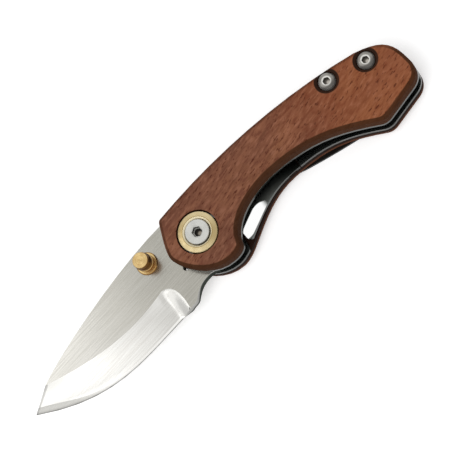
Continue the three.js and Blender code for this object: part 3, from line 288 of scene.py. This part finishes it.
def wood(name, seed, inner, wall_heights, wall):
    """Oiled reddish-brown hardwood, with walls partly darker of their own and partly in painted
    shade, and painted shade round the screws.

    The seed moves the figure, and inner is the sign of z on the face towards the liner, which is
    painted dark as shade. A wall goes from its own colour, partly the wood's darker edge and
    partly painted shade, to near black painted shade between the two heights.
    """
    g = Graph(name)
    grain = g.moved(g.place, turn=(0, 0, GRAIN_TURN), shift=(seed, seed * 0.3, 0))
    drawn_out = g.moved(grain, scale=(0.14, 1.0, 1.0))
    broad = g.noise(drawn_out, 190.0, roughness=0.55, distortion=0.4)
    patches = g.noise(g.moved(grain, scale=(0.45, 1.0, 1.0)), 60.0, detail=2.0)
    streaks = g.noise(drawn_out, 950.0, roughness=0.6)
    fleck_place = g.moved(grain, scale=(0.3, 1.0, 1.0), shift=(0.2, 0.6, 0.1))
    flecks = g.noise(fleck_place, 1150.0, roughness=0.6)
    along = g.range(g.split(g.place)[0], *HANDLE_RUN)

    # Each layer has its pattern, the range of the pattern, the shares at the ends and a colour
    color = g.two_tone(broad, 0.32, 0.68, "704432", "87563e")
    for pattern, span, shares, code in (
        (patches, (0.45, 0.7), (0.0, 0.55), "895839"),
        (patches, (0.5, 0.3), (0.0, 0.5), "5d3a2c"),
        (streaks, (0.45, 0.7), (0.0, 0.5), "57301f"),
        (flecks, (0.52, 0.68), (0.0, 0.48), "a06c55"),
        (flecks, (0.49, 0.35), (0.0, 0.7), "5f3022"),
        (along, (0.0, 1.0), (0.3, 0.0), "68493c"),
        (along, (0.3, 1.0), (0.0, 0.3), "9a5734"),
    ):
        color = g.coat(color, code, g.range(pattern, *span, *shares))

    pore_place = g.moved(grain, scale=(0.3, 1.0, 0.8), shift=(0.4, 0.1, 0.2))
    pores = g.range(g.noise(pore_place, 1500.0, detail=2.0, roughness=0.55), 0.58, 0.68)
    groups = g.range(g.noise(grain, 190.0, detail=2.0), 0.3, 0.46)
    pores = g.times(pores, groups)
    color = g.coat(color, "43190e", g.times(pores, 0.7))

    # The walls take their colour, partly the wood's own darker edge and partly painted shade,
    # less on walls that face the spine
    _, across, up = g.split(g.normal())
    levelness = g.absolute(up)
    side = g.range(levelness, 0.99, 0.93, 0.0, 0.9)
    spine = g.range(across, 0.05, 0.25, 1.0, 0.4)
    color = g.coat(color, wall, g.times(side, spine))
    # Painted shade: a wall turns near black between the two heights, towards the liner
    shade = g.times(side, g.range(g.split(g.place)[2], *wall_heights))
    color = g.coat(color, "100a08", shade)
    # Painted shade on the face towards the liner
    color = g.coat(color, "120b08", g.range(g.times(up, inner), *INNER_FACE))
    # Painted shade in and round the screw seats
    for screw in BODY_SCREWS:
        mouth = g.range(levelness, 0.3, 0.6, SEAT_BORE, SEAT_MOUTH)
        past = g.minus(g.distance_to(middle(screw)), mouth)
        color = g.coat(color, "2a1d17", g.range(past, -0.1 * MM, 0.3 * MM, 0.88, 0.0))

    rough = g.range(streaks, 0.3, 0.7, 0.5, 0.66)
    g.set(Base_Color=color, Roughness=g.math("ADD", rough, g.times(side, 0.25)))
    g.shader.inputs["Specular IOR Level"].default_value = 0.05
    height = g.minus(g.times(streaks, 0.35), pores)
    g.set(Normal=g.bump(height, 0.35, 0.12 * MM))
    return g.material


def blade_steel(name):
    """Satin flats, a brighter hollow grind with its plunge, and narrow walls in painted shade,
    with painted reflection along the blade.
    """
    g = Graph(name)
    lines = scratched(g, SATIN_RUN, 2100.0)
    coarse = scratched(g, SATIN_RUN, 700.0, stretch=0.05)
    cloud = g.noise(g.place, 70.0, detail=2.0)
    x, _, height = g.split(g.place)
    normal = g.split(g.local_normal())
    lean = g.absolute(normal[0])
    levelness = g.absolute(normal[2])

    tone = g.two_tone(lines, 0.35, 0.66, "b0aea6", "a19f96")
    tone = g.coat(tone, "a3a198", g.range(coarse, 0.4, 0.7, 0.0, 0.35))
    tone = g.coat(tone, "b2aea3", g.range(cloud, 0.35, 0.7, 0.0, 0.25))
    # Painted reflection: the flats get lighter towards the tip
    far = g.two_tone(lines, 0.35, 0.65, "d5d3cd", "c4c2bb")
    tone = g.mix(g.range(x, *FLAT_BRIGHTENS, 0.0, 0.9), tone, far)

    # The grind brightens along the blade and dulls towards the tip as painted reflection. The
    # plunge leans along the blade, and it starts from the hollow grind with a roll that carries a
    # painted highlight, while its steeper part is painted grey as a darker reflection
    ground = g.two_tone(lines, 0.35, 0.7, "cbcac5", "bfbdb8")
    bright = g.two_tone(lines, 0.35, 0.7, "e9e8e4", "dddbd6")
    ground = g.mix(g.range(x, *GRIND_BRIGHTENS), ground, bright)
    ground = g.coat(ground, "e4e3df", g.range(coarse, 0.45, 0.7, 0.0, 0.3))
    rolled = g.minus(g.range(lean, 0.02, 0.06), g.range(lean, 0.08, 0.14))
    ground = g.coat(ground, "f2f1ed", g.times(rolled, 0.42))
    ground = g.coat(ground, "c4c3bf", g.range(lean, 0.09, 0.16))
    ground = g.coat(ground, "dad9d5", g.range(x, *GRIND_DULLS, 0.0, 0.8))

    # The honed edge lies close to the middle height, with a painted highlight that dulls towards
    # the tip and a dark line of painted shade at its very edge
    honed = g.two_tone(x, *HONED_DULLS, "eeede9", "aeada9")
    rise = g.absolute(g.minus(height, BLADE_MIDDLE))
    honed = g.coat(honed, "848380", g.range(rise, *EDGE_LINE))
    below = g.minus(g.range(x, *HONED_WIDENS, *HONED_RISE), rise)
    ground = g.mix(g.range(below, 0.0, 0.02 * MM), ground, honed)

    # The grind is darker in a thin line of painted shade along the spine at the tip
    inside = g.distance_along(TIP_SPINE, TIP_ACROSS)
    thin = g.range(inside, 0.5 * MM, 0.1 * MM, 0.0, 0.6)
    thin = g.times(thin, g.range(x, TIP_SPINE[0] + 1.0 * MM, TIP_SPINE[0]))
    ground = g.coat(ground, "8f8e8b", thin)
    tone = g.mix(g.range(levelness, *FLAT_TO_GRIND), tone, ground)

    # Painted shade on the narrow walls, with a painted highlight above a height that drops
    # towards the tip
    wall = g.two_tone(cloud, 0.35, 0.65, "2f332e", "4b4f49")
    above = g.minus(height, g.range(x, *WALL_BRIGHTENS, *WALL_HIGHLIGHT_HEIGHTS))
    wall = g.coat(wall, "bab9b5", g.range(above, 0.0, 1.0 * MM, 0.0, 0.9))
    tone = g.mix(g.range(levelness, *FACE_TO_WALL), tone, wall)
    g.set(Base_Color=tone, Roughness=g.range(lines, 0.3, 0.7, 0.19, 0.24))
    g.set(Metallic=g.range(levelness, *FACE_TO_WALL, 1.0, 0.0))
    g.shader.inputs["Specular IOR Level"].default_value = 0.0
    g.set(Normal=g.bump(lines, 0.02, 0.01 * MM))
    return g.material


def sheet_steel(name, face, wall, roughness, inner=0.0):
    """Rolled sheet: polished faces, grey cut walls darkened further as painted shade, and a face
    towards the blade painted dark as shade.

    Inner is the sign of z on the face towards the blade, or zero for no painted dark face.
    """
    g = Graph(name)
    lines = scratched(g, SHEET_RUN, SHEET_LINES)
    smear = g.noise(g.moved(g.place, scale=(0.5, 1.0, 1.0)), 140.0, detail=2.0)
    up = g.split(g.normal())[2]
    tone = g.coat(srgb(face), wall, g.range(lines, 0.35, 0.7, 0.0, 0.12))
    # The walls darken, partly the cut's own grey and partly painted shade
    tone = g.coat(tone, wall, g.range(g.absolute(up), 0.8, 0.5))
    tone = g.coat(tone, wall, g.range(smear, 0.4, 0.75, 0.0, 0.3))
    # Painted shade on the face towards the blade
    tone = g.coat(tone, "1c1e1d", g.range(g.times(up, inner), *INNER_FACE))
    g.set(Base_Color=tone, Roughness=g.range(smear, 0.3, 0.7, roughness, roughness + 0.06))
    g.shader.inputs["Metallic"].default_value = 1.0
    g.set(Normal=g.bump(lines, *SHEET_RELIEF))
    return g.material


def lock_steel(name):
    """The lock bar: satin steel in painted shade, lightening towards the pivot as painted
    reflection, and a bumped relief near its tip with a painted white reflection.
    """
    g = Graph(name)
    lines = scratched(g, SHEET_RUN, SHEET_LINES)
    x, y, _ = g.split(g.place)
    up = g.split(g.normal())[2]
    # Painted reflection: a patch near the tip is painted white, made smoother and tilted by a
    # bump
    uneven = g.times(g.noise(g.place, 300.0, detail=2.0), 0.8 * MM)
    end = g.range(g.math("ADD", x, uneven), GLINT_END, GLINT_END - GLINT_FADE)
    glint = g.range(x, GLINT_END + GLINT_PAST, GLINT_END)
    for start, into, fade in GLINT_SIDES:
        ramp = g.math("DIVIDE", g.distance_along(start, into), fade)
        glint = g.times(glint, g.math("ADD", ramp, 0.3, clamp=True))
    glint = g.times(g.range(glint, 0.2, 0.42), g.range(up, 0.9, 0.99))
    glint = g.times(glint, end)

    # Painted shade on the bar, lightening towards the pivot as painted reflection, with darker
    # walls
    near = g.range(x, *BAR_BRIGHTENS)
    tone = g.mix(near, srgb("2c302d"), srgb("666a66"))
    tone = g.coat(tone, "242725", g.range(lines, 0.35, 0.7, 0.0, 0.2))
    tone = g.coat(tone, "fefefd", glint)
    wall = g.mix(near, srgb("0f1110"), srgb("474b48"))
    tone = g.mix(g.range(g.absolute(up), 0.8, 0.4), tone, wall)
    g.set(Base_Color=tone, Roughness=g.range(glint, 0.0, 1.0, 0.3, 0.12))
    g.shader.inputs["Metallic"].default_value = 1.0
    relief = g.bump(g.times(y, GLINT_SLOPE), glint, 1.0)
    g.set(Normal=g.bump(lines, *SHEET_RELIEF, relief))
    return g.material


def turned(name, color, node, roughness, wall, socket=0.0, streak=0.1, fall=(0.88, 0.35),
           fan=0.0, rim=0.0, lip=0.0):
    """Metal with fine turning marks round the node's upright axis, darker on its walls in painted
    shade.

    Socket is the radius of a hex socket, streak the strength of the marks, and fall the range of
    the normal's z from face to wall over which the painted shade comes in. Fan is the share of
    painted shade on the rays across FAN_AXIS, rim the strength of a painted highlight round the
    socket and of painted shade on slopes towards -y, and lip the radius of an inner edge with a
    painted highlight and a thin line of painted shade.
    """
    g = Graph(name)
    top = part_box(node)[1][2]
    center = middle(node)
    radius = g.distance_to(center)
    height = g.split(g.place)[2]
    _, across, up = g.split(g.normal())
    levelness = g.absolute(up)
    marks = g.noise(g.join(radius, height, 0.0), 5200.0, detail=2.0, roughness=0.6)
    soft = g.noise(g.place, 480.0, detail=2.0)
    tone = g.coat(srgb(color), wall, g.range(marks, 0.35, 0.7, 0.0, streak * 3))
    tone = g.coat(tone, wall, g.range(soft, 0.4, 0.75, 0.0, streak * 3))
    if fan:
        # Painted shade on the rays across FAN_AXIS
        ray = g.math("DIVIDE", g.distance_along(center, FAN_AXIS), radius)
        tone = g.coat(tone, wall, g.range(g.absolute(ray), 0.2, 0.95, fan, 0.0))
    if lip:
        # Painted shade in a thin line round the lip
        line = g.absolute(g.minus(radius, lip))
        tone = g.coat(tone, wall, g.range(line, 0.05 * MM, 0.16 * MM, 0.9, 0.0))
    # Painted shade on the walls
    tone = g.coat(tone, wall, g.range(levelness, *fall))
    if lip:
        # Painted highlight on the lip's slope
        slope = g.range(levelness, *LIP_SLOPE)
        bright = g.times(slope, g.range(radius, lip, lip - 0.05 * MM))
        tone = g.coat(tone, "fbeecb", bright)
    if socket:
        # Painted shade on slopes towards -y, and a painted highlight round the socket
        tone = g.coat(tone, wall, g.range(across, -0.05, -0.4, 0.0, rim * 0.68))
        band = g.range(radius, socket, socket + SOCKET_RIM, rim, 0.0)
        tone = g.coat(tone, "f0eee8", band)
        # Painted light and shade on the socket's floor: a lit spot fading to darker floor
        inside = g.range(radius, socket, socket + 0.08 * MM, 1.0, 0.0)
        below = g.range(height, top - 0.35 * MM, top - 0.1 * MM, 1.0, 0.0)
        lit = g.distance_to(center + Vector(SOCKET_LIGHT))
        pair = ("b5afa6", "4f4b45") if rim else ("8f887c", "24221f")
        tone = g.mix(g.times(inside, below), tone, g.two_tone(lit, 0.25 * MM, 1.0 * MM, *pair))

    metallic = 1.0
    if rim:
        metallic = g.range(levelness, 0.8, 0.5, 1.0, 0.15)
    elif lip:
        metallic = g.range(levelness, *LIP_SLOPE, 1.0, 0.15)
    g.set(Base_Color=tone, Roughness=g.range(soft, 0.3, 0.7, roughness - 0.05, roughness + 0.07))
    g.set(Metallic=metallic)
    g.set(Normal=g.bump(marks, 0.12, 0.02 * MM))
    return g.material


def blacked(name):
    """Black coated spring steel with a fine speckled surface."""
    g = Graph(name)
    speck = g.noise(g.place, 3200.0, roughness=0.6)
    cloud = g.noise(g.place, 90.0, detail=2.0)
    tone = g.two_tone(cloud, 0.35, 0.7, "100e0c", "171512")
    g.set(Base_Color=tone, Roughness=g.range(speck, 0.3, 0.7, 0.4, 0.55))
    g.shader.inputs["Specular IOR Level"].default_value = 0.25
    g.set(Normal=g.bump(speck, 0.1, 0.02 * MM))
    return g.material


def dress(node, material):
    mesh = nodes[node].data
    mesh.materials.clear()
    mesh.materials.append(material)


# Smooth shading and softened edges, as modifiers over the CAD meshes


def compare(group, operation, a, b):
    node = group.nodes.new("FunctionNodeCompare")
    node.operation = operation
    for socket, value in ((node.inputs["A"], a), (node.inputs["B"], b)):
        if isinstance(value, bpy.types.NodeSocket):
            group.links.new(value, socket)
        else:
            socket.default_value = value
    return node.outputs["Result"]


def group_math(group, operation, a, b=0.0):
    node = group.nodes.new("ShaderNodeMath")
    node.operation = operation
    group.links.new(a, node.inputs[0])
    node.inputs[1].default_value = b
    return node.outputs[0]


def smoothing():
    """Node group that welds a piece's triangles and shades it smooth up to a given edge angle."""
    group = bpy.data.node_groups.new("weld_and_smooth", "GeometryNodeTree")
    sockets = group.interface
    sockets.new_socket("Geometry", in_out="INPUT", socket_type="NodeSocketGeometry")
    sockets.new_socket("Crease", in_out="INPUT", socket_type="NodeSocketFloat")
    sockets.new_socket("Geometry", in_out="OUTPUT", socket_type="NodeSocketGeometry")
    add, link = group.nodes.new, group.links.new
    start, end = add("NodeGroupInput"), add("NodeGroupOutput")
    weld = add("GeometryNodeMergeByDistance")
    weld.inputs["Distance"].default_value = WELD
    strip = add("GeometryNodeRemoveAttribute")
    strip.inputs["Name"].default_value = "custom_normal"
    faces = add("GeometryNodeSetShadeSmooth")
    edges = add("GeometryNodeSetShadeSmooth")
    edges.domain = "EDGE"
    bend = add("GeometryNodeInputMeshEdgeAngle")
    blunt = compare(group, "LESS_THAN", bend.outputs["Unsigned Angle"], start.outputs["Crease"])

    # An edge between a level face and a curved one stays crisp: its mean levelness is a half
    split = add("ShaderNodeSeparateXYZ")
    link(add("GeometryNodeInputNormal").outputs["Normal"], split.inputs[0])
    level = add("GeometryNodeFieldOnDomain")
    level.domain = "FACE"
    upright = group_math(group, "ABSOLUTE", split.outputs["Z"])
    link(group_math(group, "GREATER_THAN", upright, LEVEL), level.inputs["Value"])
    from_half = group_math(group, "SUBTRACT", level.outputs["Value"], 0.5)
    alike = compare(group, "GREATER_THAN", group_math(group, "ABSOLUTE", from_half), 0.25)
    both = add("FunctionNodeBooleanMath")
    link(blunt, both.inputs[0])
    link(alike, both.inputs[1])
    link(both.outputs[0], edges.inputs["Shade Smooth"])
    chain = [start, weld, strip, faces, edges, end]
    for a, b in zip(chain, chain[1:]):
        link(a.outputs["Geometry"], b.inputs["Geometry"])
    return group


def soften(node, group, crease, width):
    """Smooths a node up to a crease angle, then rounds the creases by a small width."""
    smooth = nodes[node].modifiers.new("smooth", "NODES")
    smooth.node_group = group
    smooth[CREASE_SOCKET] = math.radians(crease)
    if width:
        bevel = nodes[node].modifiers.new("edges", "BEVEL")
        bevel.width = width
        bevel.segments = 2
        bevel.limit_method = "ANGLE"
        bevel.angle_limit = math.radians(crease)
        bevel.use_clamp_overlap = False
    even = nodes[node].modifiers.new("even", "WEIGHTED_NORMAL")
    even.keep_sharp = True


# Materials on the pieces

dress("front_scale", wood("wood_front", seed=0.0, inner=-1.0,
                          wall_heights=(13.4 * MM, 12.9 * MM), wall="382112"))
dress("back_scale", wood("wood_back", seed=0.7, inner=1.0,
                         wall_heights=(5.0 * MM, 5.9 * MM), wall="502e1c"))
dress("blade", blade_steel("blade_satin"))
dress("front_liner", sheet_steel("front_liner_steel", "a2a39f", "3c3e3b", 0.2, inner=-1.0))
dress("back_liner", sheet_steel("back_liner_steel", "5c605d", "3c3e3b", 0.26))
dress("lock_bar", lock_steel("lock_bar_glint"))
dress("backspacer", sheet_steel("spacer_steel", "5c5e5b", "2a2b29", 0.35))
dress("pocket_clip", blacked("clip_black"))
dress("thumb_stud", turned("stud_brass", "e2c88f", "thumb_stud", 0.24, "8a5c1e",
                           streak=0.12, fall=(0.95, 0.6), fan=0.25))
for name in ("front_pivot_ring", "back_pivot_ring"):
    dress(name, turned(name + "_brass", "d3c298", name, 0.36, "957e4e",
                       streak=0.06, fall=(0.55, 0.3), fan=0.6, lip=RING_LIP))
for name in ("front_washer", "back_washer"):
    dress(name, turned(name + "_bronze", "b07a45", name, 0.35, "6e4a28"))
dress("pivot_screw", turned("pivot_screw_steel", "c8c8c3", "pivot_screw", 0.5, "8c8c87",
                            socket=SOCKET, streak=0.02))
dress("pivot_barrel", turned("pivot_barrel_steel", "c8c8c3", "pivot_barrel", 0.38, "7c7c77"))
for name in BODY_SCREWS + ("clip_screw_1", "clip_screw_2"):
    dress(name, turned(name + "_steel", "94918b", name, 0.3, "3b3735",
                       socket=SOCKET, streak=0.08, fall=(0.2, 0.05), fan=0.25, rim=0.9))
for name in ("body_nut_1", "body_nut_2", "stop_pin"):
    dress(name, turned(name + "_steel", "a5a39e", name, 0.26, "5b5955"))

smooth_group = smoothing()
for name in nodes:
    soften(name, smooth_group, CREASE, EDGE_WIDTHS.get(name, FINE_EDGE))


# Floor, lights and world


def seen_rays(tree):
    """One for rays from the camera, reflected or refracted, and zero for all others."""
    rays = tree.nodes.new("ShaderNodeLightPath").outputs
    seen = rays["Is Camera Ray"]
    for kind in ("Is Glossy Ray", "Is Transmission Ray"):
        larger = tree.nodes.new("ShaderNodeMath")
        larger.operation = "MAXIMUM"
        tree.links.new(seen, larger.inputs[0])
        tree.links.new(rays[kind], larger.inputs[1])
        seen = larger.outputs[0]
    return seen


def floor():
    """Pale floor that glows a little where it is seen, so that it comes out near white."""
    bpy.ops.mesh.primitive_plane_add(size=FLOOR_WIDTH, location=(0, 0, 0))
    plane = bpy.context.object
    plane.name = "floor"
    g = Graph("floor_pale")
    tone = g.noise(g.place, 8.0, detail=2.0)
    g.set(Base_Color=g.mix(tone, (0.86, 0.86, 0.86, 1), (0.88, 0.88, 0.88, 1)))
    g.shader.inputs["Roughness"].default_value = 0.9
    g.shader.inputs["Specular IOR Level"].default_value = 0.0
    glow = g.add("ShaderNodeEmission")
    glow.inputs["Color"].default_value = WHITE
    g.put(glow.inputs["Strength"], g.times(seen_rays(g.tree), FLOOR_GLOW))
    total = g.add("ShaderNodeAddShader")
    g.link(g.shader.outputs[0], total.inputs[0])
    g.link(glow.outputs[0], total.inputs[1])
    g.link(total.outputs[0], g.output.inputs["Surface"])
    plane.data.materials.append(g.material)


def lamp(name, place, aim, size, watts, mirrored):
    """A soft box; one that isn't mirrored lights the object without showing in its metal."""
    data = bpy.data.lights.new(name, "AREA")
    data.shape = "RECTANGLE"
    data.size, data.size_y = size
    data.energy = watts
    piece = bpy.data.objects.new(name, data)
    piece.visible_glossy = mirrored
    bpy.context.collection.objects.link(piece)
    piece.location = place
    piece.rotation_euler = (Vector(aim) - Vector(place)).to_track_quat("-Z", "Y").to_euler()


def world():
    """White surroundings that look brighter than the light they give."""
    sky = bpy.data.worlds.new("studio")
    bpy.context.scene.world = sky
    sky.use_nodes = True
    tree = sky.node_tree
    tree.nodes.clear()
    output = tree.nodes.new("ShaderNodeOutputWorld")
    mix = tree.nodes.new("ShaderNodeMixShader")
    tree.links.new(seen_rays(tree), mix.inputs[0])
    for socket, strength in ((mix.inputs[1], WORLD_LIGHT), (mix.inputs[2], WORLD_SEEN)):
        light = tree.nodes.new("ShaderNodeBackground")
        light.inputs["Color"].default_value = WHITE
        light.inputs["Strength"].default_value = strength
        tree.links.new(light.outputs[0], socket)
    tree.links.new(mix.outputs[0], output.inputs["Surface"])


floor()
world()
lamp("key", place=(-0.2, -0.3, 0.8), aim=(0, 0, 0.01),
     size=(0.5, 0.5), watts=3.7, mirrored=False)
lamp("sheen", place=(-0.4, 0.44, 0.75), aim=(-0.05, 0, 0.01),
     size=(0.28, 0.3), watts=0.34, mirrored=True)
lamp("low", place=(-0.415, 0.085, 0.75), aim=(-0.05, 0, 0.01),
     size=(0.21, 0.34), watts=0.16, mirrored=True)


# Camera at the photograph's place

camera = bpy.data.objects.new("camera", bpy.data.cameras.new("camera"))
bpy.context.collection.objects.link(camera)
turn = Matrix(CAMERA_AXES).transposed().to_4x4()
camera.matrix_world = Matrix.Translation(CAMERA_PLACE) @ turn
camera.data.sensor_width = SENSOR_WIDTH
camera.data.lens = SENSOR_WIDTH * FOCAL_PIXELS / PICTURE_PIXELS
camera.data.clip_start = NEAR_CLIP
bpy.context.scene.camera = camera

bpy.context.scene.view_settings.view_transform = "Standard"
